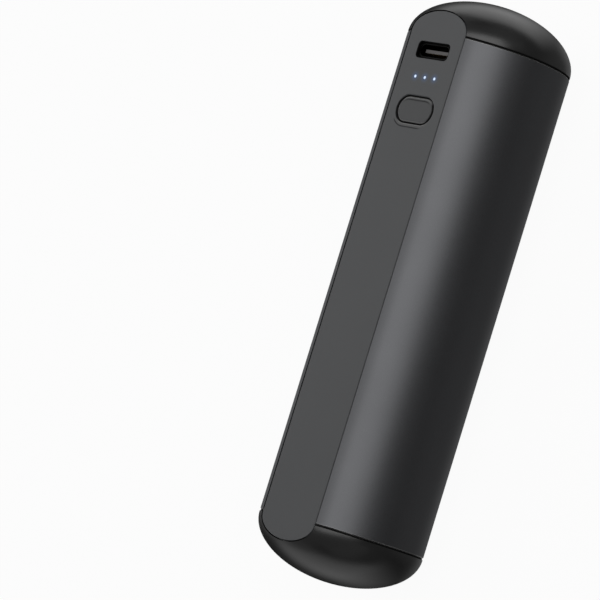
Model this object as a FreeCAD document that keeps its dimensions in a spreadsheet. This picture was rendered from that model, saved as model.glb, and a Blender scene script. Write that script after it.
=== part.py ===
import FreeCAD, Part
import math
import os
import Sketcher

# A rechargeable hand warmer: an aluminium tube with a flat control strip let into one side and a
# domed cap on each end. Inside are a heating film, a lithium cell and one circuit board.
# The frame: X runs along the tube towards the socket end, Z points out of the strip, and the origin
# is under the middle of the round back that the warmer rests on. Everything is in millimetres.

SIZES = {
    # outer form
    "radius": 17.5,  # of the tube and of both caps
    "tube_length": 103.4,
    "dome_height": 10.1,  # of each cap past its seam
    "flat_depth": 2.05,  # how far the strip's face lies under the full round
    "seam_width": 0.3,  # the shadow groove between tube and cap
    "seam_depth": 0.8,
    "shell_wall": 1.6,
    "shell_chamfer": 0.25,
    # caps
    "cap_wall": 2.0,  # at the top of the dome
    "mark_radius": 0.5,  # the flat moulding mark on the top of the dome
    "spigot_length": 6.0,  # the collar that enters the tube
    "spigot_wall": 1.4,
    "spigot_clearance": 0.1,
    "seat_floor": 1.5,  # the floor under the strip, in the caps and in the carrier
    # control strip and its tape
    "strip_gap": 0.2,
    "strip_thickness": 1.5,
    "strip_round": 0.15,
    "tape_thickness": 0.15,
    "tape_margin": 0.7,
    # socket
    "port_inset": 3.76,  # from the tube's end to the socket's middle
    "port_end_gap": 0.23,  # from the socket to the ends and sides of its hole in the strip
    "port_side_gap": 0.2,
    "port_corner": 0.9,
    "port_round": 0.12,
    "socket_width": 8.94,
    "socket_height": 3.16,
    "socket_wall": 0.3,
    "socket_depth": 0.6,  # the mouth under the strip's face
    "socket_notch": 0.35,  # room round the socket in the cap's floor
    "tongue_width": 6.7,
    "tongue_thickness": 0.7,
    "tongue_depth": 1.28,  # the tongue's tip under the strip's face
    "tongue_base": 1.8,  # the plastic block that closes the socket's back
    "contact_width": 0.25,
    "contact_pitch": 0.5,
    "contact_length": 3.0,
    "contact_thickness": 0.05,
    "contact_setback": 0.4,  # from the tongue's tip
    # lamps
    "lamp_step": 5.74,  # from the socket to the row of lamps
    "lamp_pitch": 2.86,
    "lamp_hole": 0.9,
    "pin_diameter": 0.8,
    "pin_recess": 0.03,
    "bar_width": 2.2,  # the light guide's bar under the strip
    "bar_length": 8.4,
    "bar_height": 1.2,
    "leg_diameter": 1.2,
    "lamp_length": 1.6,
    "lamp_width": 0.8,
    "lamp_height": 0.7,
    "lamp_air": 0.15,
    # button
    "button_step": 7.0,  # from the lamps to the button
    "button_length": 10.3,
    "button_width": 5.5,
    "button_gap": 0.15,
    "button_round": 0.45,
    "button_recess": 0.05,
    "hole_round": 0.35,
    "lip_margin": 0.9,  # how far the lip stands out under the strip
    "lip_thickness": 0.7,
    "lip_clearance": 0.1,
    "stem_diameter": 3.0,
    "plunger_gap": 0.05,
    # switch under the button
    "switch_side": 6.0,
    "switch_height": 3.5,
    "switch_cover": 0.2,
    "switch_bore": 3.7,
    "bore_depth": 1.5,
    "plunger_diameter": 3.4,
    "plunger_length": 1.6,
    "dome_diameter": 3.2,
    "dome_rise": 0.45,
    "dome_thickness": 0.12,
    # inner carrier
    "film_gap": 0.05,
    "film_thickness": 0.25,
    "film_lap": 0.4,  # how far the film climbs past its tail
    "film_margin": 0.7,  # from the carrier's end
    "carrier_clearance": 0.3,
    "carrier_wall": 1.5,
    "carrier_gap": 0.5,  # from the carrier to the cap's spigot
    "window_margin": 0.4,
    "rib_thickness": 1.2,
    "rib_share": 0.31,  # the step between ribs, as a share of the cell's length
    "rib_width": 15.0,
    "rib_clearance": 0.2,
    "lug_inner": 4.9,  # the screw lugs, measured across from the middle
    "lug_outer": 8.6,
    "lug_height": 3.0,
    "lug_root": 4.0,
    "lug_reach": 4.8,
    "lug_clearance": 0.2,
    # fasteners
    "screw_shank": 1.6,
    "screw_clearance": 0.05,
    "cap_screw_inset": 3.7,
    "cap_screw_offset": 6.15,
    "cap_head": 2.4,
    "cap_head_height": 0.7,
    "cap_screw_length": 4.0,
    "board_head": 3.0,
    "board_head_height": 1.1,
    "board_screw_length": 4.2,
    "drive_width": 0.35,  # the cross recess in a screw head
    "drive_length": 1.5,
    "drive_depth": 0.35,
    # circuit board
    "board_depth": 7.15,  # its top under the strip's face
    "board_thickness": 1.0,
    "board_clearance": 1.0,  # from its sides to the carrier's wall
    "board_past_port": 3.2,
    "board_before_button": 7.6,
    "post_diameter": 4.0,
    "post_inset": 2.6,  # from the board's edges
    "post_step": 12.8,
    "chip_side": 5.0,
    "chip_height": 0.9,
    "inductor_side": 6.0,
    "inductor_height": 2.5,
    "transistor_length": 4.0,
    "transistor_width": 3.0,
    "transistor_height": 1.1,
    "capacitor_length": 2.0,
    "capacitor_width": 1.25,
    "capacitor_height": 1.2,
    "resistor_length": 1.6,
    "resistor_width": 0.8,
    "resistor_height": 0.45,
    "part_step": 2.4,  # between neighbouring small parts
    # lithium cell
    "cell_headroom": 4.6,  # from the cell's sleeve up to the deck
    "cell_end_gap": 1.7,  # from the carrier's end to the cell's closed end
    "cell_board_gap": 0.92,  # from the cell's open end to the board's edge
    "wrap_thickness": 0.1,
    "can_wall": 0.25,
    "core_clearance": 0.1,
    "terminal_diameter": 6.0,
    "terminal_height": 0.6,
    "gasket_outer": 12.0,
    "gasket_inner": 6.4,
    "gasket_height": 0.35,
    "tab_thickness": 0.15,
    "tab_width": 5.0,
    "tab_length": 9.0,
    "pad_thickness": 0.3,
    "pad_width": 8.0,
    "pad_length": 14.0,
    "pad_margin": 8.1,  # from the cell's end
    "pad_clearance": 0.04,
    # leads and sensor
    "lead_diameter": 1.2,
    "lead_bend": 1.5,
    "lead_margin": 1.0,  # from the board's side edge
    "lead_inset": 3.6,  # from the board's inner edge
    "tail_width": 5.0,
    "tail_thickness": 0.2,
    "tail_landing": 2.4,
    "tail_gap": 0.1,
    "sensor_length": 2.4,
    "sensor_width": 1.6,
    "sensor_height": 1.0,
    "sensor_gap": 0.15,
    "sensor_lead": 0.5,
    "sensor_pitch": 1.0,
    "overrun": 2.0,  # how far a cutting tool runs past what it cuts
}

document = FreeCAD.newDocument("HandWarmer")
sheet = document.addObject("Spreadsheet::Sheet", "Sizes")
for row, (alias, number) in enumerate(SIZES.items(), 1):
    sheet.set(f"A{row}", alias)
    sheet.set(f"B{row}", str(number))
    sheet.setAlias(f"B{row}", alias)
document.recompute()


class Size:
    """A length from the sheet, or a sum of lengths, with the expression that a property is bound to."""

    def __init__(self, value, text):
        self.value = value
        self.text = text

    def __add__(self, other):
        other = as_size(other)
        return Size(self.value + other.value, f"({self.text} + {other.text})")

    def __sub__(self, other):
        other = as_size(other)
        return Size(self.value - other.value, f"({self.text} - {other.text})")

    def __mul__(self, other):
        other = as_size(other)
        return Size(self.value * other.value, f"({self.text} * {other.text})")

    def __rmul__(self, other):
        return as_size(other) * self

    def __truediv__(self, other):
        other = as_size(other)
        return Size(self.value / other.value, f"({self.text} / {other.text})")

    def __neg__(self):
        return Size(-self.value, f"(0 - {self.text})")


def as_size(number):
    return number if isinstance(number, Size) else Size(float(number), repr(number))


class Sheet:
    """The sheet's sizes by name."""

    def __getattr__(self, alias):
        return Size(sheet.get(alias), f"Sizes.{alias}")


mm = Sheet()


def leg(long_side, short_side):
    """The other leg of a right triangle."""
    square = long_side * long_side - short_side * short_side
    return Size(math.sqrt(square.value), f"sqrt({square.text})")


def middle(width):
    """The two ends of a width that is centred on zero."""
    return (-(width / 2), width / 2)


def around(centre, width):
    return (as_size(centre) - width / 2, as_size(centre) + width / 2)


def past(low, high):
    """A span run past both its ends, for a tool that cuts right through."""
    return (low - overrun, high + overrun)


def bind(thing, **properties):
    for name, value in properties.items():
        thing.setExpression(name, as_size(value).text)


def place(thing, x=0, y=0, z=0):
    for letter, value in zip("xyz", (x, y, z)):
        thing.setExpression(f"Placement.Base.{letter}", as_size(value).text)


TURNS = {"x": FreeCAD.Rotation(FreeCAD.Vector(0, 1, 0), 90), "z": FreeCAD.Rotation()}


def block(name, x, y, z):
    """A box from the two ends of each side."""
    thing = document.addObject("Part::Box", name)
    bind(thing, Length=x[1] - x[0], Width=y[1] - y[0], Height=z[1] - z[0])
    place(thing, x[0], y[0], z[0])
    return thing


def bar(name, diameter, along, span, centre):
    """A round bar along one axis. The centre is given in the other two, in alphabetical order."""
    thing = document.addObject("Part::Cylinder", name)
    thing.Placement.Rotation = TURNS[along]
    bind(thing, Radius=diameter / 2, Height=span[1] - span[0])
    spot = dict(zip([letter for letter in "xyz" if letter != along], centre))
    spot[along] = span[0]
    place(thing, **spot)
    return thing


def cone(name, lower, upper, z, x, y):
    thing = document.addObject("Part::Cone", name)
    bind(thing, Radius1=lower / 2, Radius2=upper / 2, Height=z[1] - z[0])
    place(thing, x, y, z[0])
    return thing


def combine(kind, name, pieces):
    thing = document.addObject(kind, name)
    thing.Shapes = list(pieces)
    thing.Refine = True
    return thing


def join(name, *pieces):
    return combine("Part::MultiFuse", name, pieces)


def overlap(name, *pieces):
    return combine("Part::MultiCommon", name, pieces)


def cut(name, base, *tools):
    thing = document.addObject("Part::Cut", name)
    thing.Base = base
    thing.Tool = tools[0] if len(tools) == 1 else join(f"{name}_tools", *tools)
    thing.Refine = True
    return thing


def together(name, pieces):
    """Separate solids of one kind in one node."""
    thing = document.addObject("Part::Compound", name)
    thing.Links = list(pieces)
    return thing


def obround(name, length, width, x, z):
    """A prism with round ends, its long side across the tube."""
    reach = (length - width) / 2
    pieces = [block(f"{name}_middle", around(x, width), (-reach, reach), z)]
    for end, y in (("left", reach), ("right", -reach)):
        pieces.append(bar(f"{name}_{end}", width, "z", z, (x, y)))
    return join(name, *pieces)


def rounded(name, length, width, corner, x, z):
    """A prism with rounded corners, its long side across the tube."""
    pieces = [
        block(f"{name}_long", around(x, width - 2 * corner), middle(length), z),
        block(f"{name}_short", around(x, width), middle(length - 2 * corner), z),
    ]
    for index, (sign_x, sign_y) in enumerate(((1, 1), (1, -1), (-1, 1), (-1, -1))):
        spot = (x + sign_x * (width / 2 - corner), sign_y * (length / 2 - corner))
        pieces.append(bar(f"{name}_corner_{index}", 2 * corner, "z", z, spot))
    return join(name, *pieces)


def oval(name, half_length, half_width, x, z):
    """An upright prism on an ellipse, its wide side across the tube."""
    outline = document.addObject("Part::Ellipse", f"{name}_outline")
    outline.Placement.Rotation = FreeCAD.Rotation(FreeCAD.Vector(0, 0, 1), 90)
    bind(outline, MajorRadius=half_width, MinorRadius=half_length)
    place(outline, x, 0, z[0])
    thing = document.addObject("Part::Extrusion", name)
    thing.Base = outline
    thing.DirMode = "Custom"
    thing.Dir = FreeCAD.Vector(0, 0, 1)
    thing.Solid = True
    bind(thing, LengthFwd=z[1] - z[0])
    return thing


def long_oval(name, x, half_width, end_length, z):
    """A straight stretch with a half ellipse on each end: the outline of the strip."""
    return join(
        name,
        block(f"{name}_straight", x, (-half_width, half_width), z),
        oval(f"{name}_low_end", end_length, half_width, x[0], z),
        oval(f"{name}_high_end", end_length, half_width, x[1], z),
    )


def origin_plane(body, role):
    return next(part for part in body.Origin.OriginFeatures if part.Role == role)


def half_ellipsoid(name, height, radius):
    """A dome turned about the X axis from a quarter ellipse, with a small flat moulding mark on top."""
    body = document.addObject("PartDesign::Body", name)
    sketch = body.newObject("Sketcher::SketchObject", f"{name}_profile")
    sketch.AttachmentSupport = [(origin_plane(body, "XZ_Plane"), "")]
    sketch.MapMode = "FlatFace"
    mark = mm.mark_radius
    start = -math.acos(mark.value / radius.value)
    centre = FreeCAD.Vector()
    rim = FreeCAD.Vector(0, radius.value, 0)
    ellipse = Part.Ellipse(rim, FreeCAD.Vector(-height.value, 0, 0), centre)
    quarter = Part.ArcOfEllipse(ellipse, start, 0)
    mark_edge = quarter.StartPoint
    mark_middle = FreeCAD.Vector(mark_edge.x, 0, 0)
    arc = sketch.addGeometry(quarter, False)
    sketch.exposeInternalGeometry(arc)
    long_axis, short_axis = arc + 1, arc + 2
    lines = ((centre, mark_middle), (mark_middle, mark_edge), (rim, centre))
    base, top, side = (sketch.addGeometry(Part.LineSegment(*ends), False) for ends in lines)
    for parts in (
        ("Coincident", arc, 3, -1, 1),
        ("Coincident", base, 1, -1, 1),
        ("Coincident", side, 2, -1, 1),
        ("Coincident", base, 2, top, 1),
        ("Coincident", top, 2, arc, 1),
        ("Coincident", side, 1, arc, 2),
        ("PointOnObject", base, 2, -1),
        ("PointOnObject", side, 1, -2),
        ("Vertical", top),
        ("Vertical", long_axis),
    ):
        sketch.addConstraint(Sketcher.Constraint(*parts))
    for line, length in ((short_axis, 2 * height), (side, radius), (top, mark)):
        index = sketch.addConstraint(Sketcher.Constraint("Distance", line, length.value))
        sketch.setExpression(f"Constraints[{index}]", length.text)
    turned = body.newObject("PartDesign::Revolution", f"{name}_turned")
    turned.Profile = sketch
    turned.ReferenceAxis = (sketch, ["H_Axis"])
    turned.Angle = 360
    return body


def top_edges(thing, level, inside=None):
    """Numbers of the edges that lie at one level, all of them or those inside an x and y range."""
    document.recompute()
    found = []
    for number, edge in enumerate(thing.Shape.Edges, 1):
        box = edge.BoundBox
        if abs(box.ZMin - level.value) + abs(box.ZMax - level.value) > TINY:
            continue
        if inside is None or inside_range(box, *inside):
            found.append(number)
    return found


def inside_range(box, x, y):
    in_x = x[0].value - TINY < box.XMin and box.XMax < x[1].value + TINY
    return in_x and y[0].value - TINY < box.YMin and box.YMax < y[1].value + TINY


def soften(kind, name, base, *rounds):
    """A fillet or chamfer on numbered edges, a radius for each list of them."""
    thing = document.addObject(kind, name)
    thing.Base = base
    thing.Edges = [(number, each.value, each.value) for numbers, each in rounds for number in numbers]
    return thing


def wire(name, diameter, points):
    """A round lead along straight runs joined by arcs of one bend radius."""
    bend = mm.lead_bend.value
    spots = [FreeCAD.Vector(*(as_size(value).value for value in point)) for point in points]
    edges = []
    start = spots[0]
    for before, corner, after in zip(spots, spots[1:], spots[2:]):
        back = (before - corner).normalize()
        ahead = (after - corner).normalize()
        half_turn = back.getAngle(ahead) / 2
        toward = (back + ahead).normalize()
        reach = bend / math.tan(half_turn)
        centre = corner + toward * (bend / math.sin(half_turn))
        edges.append(Part.LineSegment(start, corner + back * reach).toShape())
        start = corner + ahead * reach
        arc = Part.Arc(corner + back * reach, centre - toward * bend, start)
        edges.append(arc.toShape())
    edges.append(Part.LineSegment(start, spots[-1]).toShape())
    circle = Part.Circle(spots[0], spots[1] - spots[0], diameter.value / 2)
    section = Part.Face(Part.Wire(circle.toShape()))
    path = Part.Wire(edges)
    thing = document.addObject("Part::Feature", name)
    thing.Shape = path.makePipe(section)
    print(name, "volume over section times length", thing.Shape.Volume / (section.Area * path.Length))
    return thing


def cross_recess(name, x, y, z):
    """The cross that a screwdriver fits."""
    return join(
        name,
        block(f"{name}_one", around(x, drive_length), around(y, drive_width), z),
        block(f"{name}_two", around(x, drive_width), around(y, drive_length), z),
    )


radius = mm.radius
overrun = mm.overrun
drive_length = mm.drive_length
drive_width = mm.drive_width
screw_shank = mm.screw_shank
screw_hole = screw_shank + 2 * mm.screw_clearance
TINY = overrun.value / 1000

# Levels, from the strip's face down, and places along the tube
axis = radius
face = 2 * radius - mm.flat_depth
under_strip = face - mm.strip_thickness
seat = under_strip - mm.tape_thickness
floor_under = seat - mm.seat_floor
above = 2 * radius + overrun
board_top = face - mm.board_depth
board_under = board_top - mm.board_thickness

tube_half = mm.tube_length / 2
port_x = tube_half - mm.port_inset
lamp_x = port_x - mm.lamp_step
button_x = lamp_x - mm.button_step
board_start = button_x - mm.board_before_button
board_end = port_x + mm.board_past_port
dome_start = tube_half + mm.seam_width

# The flat that the strip lies in, as the round tube and the domes meet its plane
flat_half = leg(radius, radius - mm.flat_depth)
flat_end = mm.dome_height * flat_half / radius

# Radii from the tube's bore inwards
bore_radius = radius - mm.shell_wall
film_outer = bore_radius - mm.film_gap
film_inner = film_outer - mm.film_thickness
carrier_outer = film_inner - mm.carrier_clearance
carrier_inner = carrier_outer - mm.carrier_wall
spigot_outer = bore_radius - mm.spigot_clearance
spigot_inner = spigot_outer - mm.spigot_wall
carrier_half = tube_half - mm.spigot_length - mm.carrier_gap

# The cell lies low in the carrier, so that the warmer rolls strip side up
cell_start = -carrier_half + mm.cell_end_gap
cell_end = board_start - mm.cell_board_gap
cell_length = cell_end - cell_start
cell_bed = axis - carrier_inner + mm.pad_thickness
wrap_radius = (floor_under - mm.cell_headroom - cell_bed) / 2
cell_radius = wrap_radius - mm.wrap_thickness
cell_axis = cell_bed + wrap_radius

# The board spans the carrier at its own level
board_half = leg(carrier_inner, board_top - axis) - mm.board_clearance
post_y = board_half - mm.post_inset

whole_tube = (-tube_half, tube_half)
whole_carrier = (-carrier_half, carrier_half)
on_axis = (0, axis)
SIDES = (("left", 1), ("right", -1))
ENDS = (("top", 1), ("bottom", -1))
nodes = []


def node(thing, label):
    thing.Label = label
    nodes.append(thing)
    return thing


# Aluminium tube: a plain round tube with chamfered ends and a slot for the strip
shell_blank = bar("shell_blank", 2 * radius, "x", whole_tube, on_axis)
document.recompute()
end_circles = [
    number
    for number, edge in enumerate(shell_blank.Shape.Edges, 1)
    if edge.BoundBox.XLength < TINY
]
shell_ends = soften("Part::Chamfer", "shell_ends", shell_blank, (end_circles, mm.shell_chamfer))
past_tube = past(*whole_tube)
shell_bore = bar("shell_bore", 2 * bore_radius, "x", past_tube, on_axis)
shell_slot = block("shell_slot", past_tube, (-flat_half, flat_half), (axis, above))
node(cut("heat_shell", shell_ends, shell_bore, shell_slot), "heat_shell")


def outward(sign, low, high):
    """A span measured from the middle towards one end."""
    return (low, high) if sign > 0 else (-high, -low)


def cap_screw_spots(sign):
    x = sign * (tube_half - mm.cap_screw_inset)
    return [(x, mm.cap_screw_offset), (x, -mm.cap_screw_offset)]


def cap(name, sign, notch=None):
    """A domed cap with a spigot that enters the tube, a floor for the strip and two screw holes."""
    flip = FreeCAD.Rotation(FreeCAD.Vector(0, 0, 1), 0 if sign > 0 else 180)
    spigot_start = tube_half - mm.spigot_length
    open_spigot = outward(sign, spigot_start - overrun, dome_start)
    spigot = outward(sign, spigot_start, dome_start)
    neck = outward(sign, tube_half, dome_start)

    def dome(title, height, dome_radius):
        body = half_ellipsoid(title, height, dome_radius)
        body.Placement.Rotation = flip
        place(body, sign * dome_start, 0, axis)
        return body

    outside = join(
        f"{name}_outside",
        dome(f"{name}_dome", mm.dome_height, radius),
        bar(f"{name}_neck", 2 * (radius - mm.seam_depth), "x", neck, on_axis),
        bar(f"{name}_spigot", 2 * spigot_outer, "x", spigot, on_axis),
    )
    hollow = join(
        f"{name}_hollow",
        dome(f"{name}_inner_dome", mm.dome_height - mm.cap_wall, spigot_inner),
        bar(f"{name}_mouth", 2 * spigot_inner, "x", open_spigot, on_axis),
    )
    reach = outward(sign, spigot_start - overrun, dome_start + mm.dome_height)
    room = overlap(
        f"{name}_room",
        hollow,
        block(f"{name}_room_limit", reach, (-radius, radius), (axis - radius, floor_under)),
    )
    pocket = join(
        f"{name}_pocket",
        block(f"{name}_pocket_straight", open_spigot, (-flat_half, flat_half), (seat, above)),
        oval(f"{name}_pocket_end", flat_end, flat_half, sign * dome_start, (seat, above)),
    )
    tools = [room, pocket] + ([notch] if notch else [])
    for index, (x, y) in enumerate(cap_screw_spots(sign)):
        through = past(floor_under, seat)
        tools.append(bar(f"{name}_screw_hole_{index}", screw_hole, "z", through, (x, y)))
        head = mm.cap_head + 2 * mm.screw_clearance
        sink = (seat - mm.cap_head_height, seat)
        tools.append(cone(f"{name}_sink_{index}", screw_hole, head, sink, x, y))
    return node(cut(name, outside, *tools), name)


notch_width = mm.socket_height / 2 + mm.socket_notch
socket_notch = block(
    "socket_notch",
    (tube_half - mm.spigot_length - overrun, port_x + notch_width),
    middle(mm.socket_width + 2 * mm.socket_notch),
    past(floor_under, seat),
)
cap("top_cap", 1, socket_notch)
cap("bottom_cap", -1)

# Control strip: the flat of the tube and its domes, less a narrow gap all round
button_hole_length = mm.button_length + 2 * mm.button_gap
button_hole_width = mm.button_width + 2 * mm.button_gap
port_length = mm.socket_width + 2 * mm.port_end_gap
port_width = mm.socket_height + 2 * mm.port_side_gap
strip_span = (-dome_start, dome_start)
through_strip = past(under_strip, face)


def flat_sheet(name, inset, z):
    """A sheet in the outline of the flat, drawn in all round."""
    return long_oval(name, strip_span, flat_half - inset, flat_end - inset, z)


strip_blank = flat_sheet("strip_blank", mm.strip_gap, (under_strip, face))
strip_holes = [
    rounded("port_hole", port_length, port_width, mm.port_corner, port_x, through_strip),
    obround("button_hole", button_hole_length, button_hole_width, button_x, through_strip),
]
lamp_rows = [step * mm.lamp_pitch for step in (1, 0, -1)]
for index, y in enumerate(lamp_rows):
    strip_holes.append(bar(f"lamp_hole_{index}", mm.lamp_hole, "z", through_strip, (lamp_x, y)))
strip_cut = cut("strip_cut", strip_blank, *strip_holes)
button_rim = (around(button_x, button_hole_width), middle(button_hole_length))
port_rim = (around(port_x, port_width), middle(port_length))
lamp_rim = (around(lamp_x, mm.lamp_hole), middle(2 * mm.lamp_pitch + mm.lamp_hole))
button_edges = top_edges(strip_cut, face, button_rim)
port_edges = top_edges(strip_cut, face, port_rim)
inner_edges = button_edges + port_edges + top_edges(strip_cut, face, lamp_rim)
outer_edges = [number for number in top_edges(strip_cut, face) if number not in inner_edges]
node(
    soften(
        "Part::Fillet",
        "control_strip",
        strip_cut,
        (outer_edges, mm.strip_round),
        (button_edges, mm.hole_round),
        (port_edges, mm.port_round),
    ),
    "control_strip",
)

# Tape that holds the strip down, with one window over the controls
lip_length = mm.button_length + 2 * mm.lip_margin
lip_width = mm.button_width + 2 * mm.lip_margin
window_margin = mm.window_margin
tape_blank = flat_sheet("tape_blank", mm.strip_gap + mm.tape_margin, (seat, under_strip))
tape_window = block(
    "tape_window",
    (button_x - lip_width / 2 - window_margin, port_x + notch_width),
    middle(lip_length + 2 * window_margin),
    past(seat, under_strip),
)
node(cut("strip_tape", tape_blank, tape_window), "strip_tape")

# Levels of the switch, from the board up
switch_top = board_top + mm.switch_height
bore_floor = switch_top - mm.bore_depth
dome_top = bore_floor + mm.dome_rise
plunger_start = dome_top + mm.plunger_gap
plunger_span = (plunger_start, plunger_start + mm.plunger_length)
over_button = (button_x, 0)

# Button: a rounded key, a lip that keeps it under the strip and a stem over the switch
lip_top = under_strip - mm.lip_clearance
lip_under = lip_top - mm.lip_thickness
stem_end = plunger_span[1] + mm.plunger_gap
key_top = face - mm.button_recess
key_blank = obround("key_blank", mm.button_length, mm.button_width, button_x, (lip_under, key_top))
key = soften("Part::Fillet", "key", key_blank, (top_edges(key_blank, key_top), mm.button_round))
node(
    join(
        "power_button",
        key,
        obround("button_lip", lip_length, lip_width, button_x, (lip_under, lip_top)),
        bar("button_stem", mm.stem_diameter, "z", (stem_end, lip_top), over_button),
    ),
    "power_button",
)

# Switch on the board: base, metal cover, snap dome and plunger
switch_x, switch_y = around(button_x, mm.switch_side), middle(mm.switch_side)
switch_body = block("switch_body", switch_x, switch_y, (board_top, switch_top))
switch_bore = bar("switch_bore", mm.switch_bore, "z", (bore_floor, switch_top + overrun), over_button)
node(cut("switch_base", switch_body, switch_bore), "switch_base")
cover_top = switch_top + mm.switch_cover
cover_plate = block("cover_plate", switch_x, switch_y, (switch_top, cover_top))
cover_hole = bar("cover_hole", mm.switch_bore, "z", past(switch_top, cover_top), over_button)
node(cut("switch_cover", cover_plate, cover_hole), "switch_cover")


def dome_cone(name, inset):
    """The snap dome's outside, or its inside one thickness in. Its crown is half as wide as its rim."""
    rim = mm.dome_diameter - 2 * inset
    crown = mm.dome_diameter / 2 - 2 * inset
    return cone(name, rim, crown, (bore_floor, dome_top - inset), *over_button)


dome_outside = dome_cone("dome_outside", as_size(0))
node(cut("switch_dome", dome_outside, dome_cone("dome_inside", mm.dome_thickness)), "switch_dome")
node(bar("switch_plunger", mm.plunger_diameter, "z", plunger_span, over_button), "switch_plunger")

# Light guide: three pins in the strip, a bar under it and three legs down to the lamps
lamp_top = board_top + mm.lamp_height
bar_under = under_strip - mm.bar_height
bar_x, bar_y = around(lamp_x, mm.bar_width), middle(mm.bar_length)
guide_pieces = [block("guide_bar", bar_x, bar_y, (bar_under, under_strip))]
for index, y in enumerate(lamp_rows):
    pin = (bar_under, face - mm.pin_recess)
    guide_pieces.append(bar(f"guide_pin_{index}", mm.pin_diameter, "z", pin, (lamp_x, y)))
    long_leg = (lamp_top + mm.lamp_air, under_strip)
    guide_pieces.append(bar(f"guide_leg_{index}", mm.leg_diameter, "z", long_leg, (lamp_x, y)))
node(join("light_guide", *guide_pieces), "light_guide")
lamp_side = around(lamp_x, mm.lamp_width)
lamps = [
    block(f"lamp_{index}", lamp_side, around(y, mm.lamp_length), (board_top, lamp_top))
    for index, y in enumerate(lamp_rows)
]
node(together("indicator_leds", lamps), "indicator_leds")

# Socket: a seamless steel sleeve round a plastic tongue with gold contacts
mouth = face - mm.socket_depth
sleeve = obround("sleeve", mm.socket_width, mm.socket_height, port_x, (board_top, mouth))
inner_width = mm.socket_width - 2 * mm.socket_wall
inner_height = mm.socket_height - 2 * mm.socket_wall
sleeve_bore = obround("sleeve_bore", inner_width, inner_height, port_x, past(board_top, mouth))
node(cut("usb_shell", sleeve, sleeve_bore), "usb_shell")
tongue_tip = face - mm.tongue_depth
base_top = board_top + mm.tongue_base
base_length = inner_width - 2 * mm.contact_thickness
base_width = inner_height - 2 * mm.contact_thickness
tongue_block = obround("tongue_block", base_length, base_width, port_x, (board_top, base_top))
blade_x = around(port_x, mm.tongue_thickness)
blade = block("tongue_blade", blade_x, middle(mm.tongue_width), (board_top, tongue_tip))
node(join("usb_tongue", tongue_block, blade), "usb_tongue")
contact_top = tongue_tip - mm.contact_setback
contact_z = (contact_top - mm.contact_length, contact_top)
contact_sides = {
    "back": (blade_x[0] - mm.contact_thickness, blade_x[0]),
    "front": (blade_x[1], blade_x[1] + mm.contact_thickness),
}
CONTACTS = 12
contacts = [
    block(
        f"contact_{side}_{index}",
        span,
        around((index - (CONTACTS - 1) / 2) * mm.contact_pitch, mm.contact_width),
        contact_z,
    )
    for side, span in contact_sides.items()
    for index in range(CONTACTS)
]
node(together("usb_contacts", contacts), "usb_contacts")

# Upper carrier: the roof of the inner tube, with a flat deck under the strip
post_near = board_start + mm.post_inset
post_spots = [
    (x, side * post_y)
    for x in (post_near, post_near + mm.post_step)
    for side in (1, -1)
]
upper_bar = bar("upper_bar", 2 * carrier_outer, "x", whole_carrier, on_axis)
upper_limit = block("upper_limit", whole_carrier, (-radius, radius), (axis, seat))
past_carrier = past(*whole_carrier)
upper_bore = bar("upper_bore", 2 * carrier_inner, "x", past_carrier, on_axis)
under_deck = block("under_deck", past_carrier, (-radius, radius), (axis - overrun, floor_under))
upper_room = overlap("upper_room", upper_bore, under_deck)
upper_arch = cut("upper_arch", overlap("upper_half", upper_bar, upper_limit), upper_room)
additions = [upper_arch]
for index, (x, y) in enumerate(post_spots):
    additions.append(bar(f"board_post_{index}", mm.post_diameter, "z", (board_top, floor_under), (x, y)))
on_cell = (0, cell_axis)
whole_cell = (cell_start, cell_end)
cell_room = bar("cell_room", 2 * (wrap_radius + mm.rib_clearance), "x", whole_cell, on_cell)
cell_middle = (cell_start + cell_end) / 2
for index, step in enumerate((-1, 0, 1)):
    rib_x = around(cell_middle + step * mm.rib_share * cell_length, mm.rib_thickness)
    rib = block(f"rib_blank_{index}", rib_x, middle(mm.rib_width), (cell_axis, floor_under))
    additions.append(cut(f"rib_{index}", rib, cell_room))
lug_limit = bar("lug_limit", 2 * (spigot_inner - mm.lug_clearance), "x", past_tube, on_axis)
lugs = []
for end, sign in ENDS:
    lug_x = outward(sign, carrier_half - mm.lug_root, carrier_half + mm.lug_reach)
    for name, side in SIDES:
        lug_y = outward(side, mm.lug_inner, mm.lug_outer)
        lugs.append(block(f"lug_{end}_{name}", lug_x, lug_y, (floor_under - mm.lug_height, floor_under)))
additions.append(overlap("lugs", join("lug_blanks", *lugs), lug_limit))
tail_x = (post_near + mm.post_diameter, post_near + mm.post_diameter + mm.tail_width)
tail_z = (board_top + mm.tail_gap, board_top + mm.tail_gap + mm.tail_thickness)
openings = [
    obround(
        "lip_window",
        lip_length + 2 * window_margin,
        lip_width + 2 * window_margin,
        button_x,
        past(floor_under, seat),
    ),
    block(
        "guide_window",
        around(lamp_x, mm.bar_width + window_margin),
        middle(mm.bar_length + window_margin),
        past(floor_under, seat),
    ),
    block(
        "tail_slot",
        (tail_x[0] - window_margin, tail_x[1] + window_margin),
        (board_half, radius),
        (tail_z[0] - window_margin, tail_z[1] + window_margin),
    ),
]
pilot_end = board_under + mm.board_screw_length + window_margin
for index, spot in enumerate(post_spots):
    openings.append(bar(f"post_pilot_{index}", screw_hole, "z", (board_top - overrun, pilot_end), spot))
pilot = (floor_under - mm.lug_height - overrun, floor_under)
for end, sign in ENDS:
    for index, spot in enumerate(cap_screw_spots(sign)):
        openings.append(bar(f"lug_pilot_{end}_{index}", screw_hole, "z", pilot, spot))
node(cut("upper_carrier", join("upper_solid", *additions), *openings), "upper_carrier")

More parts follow.
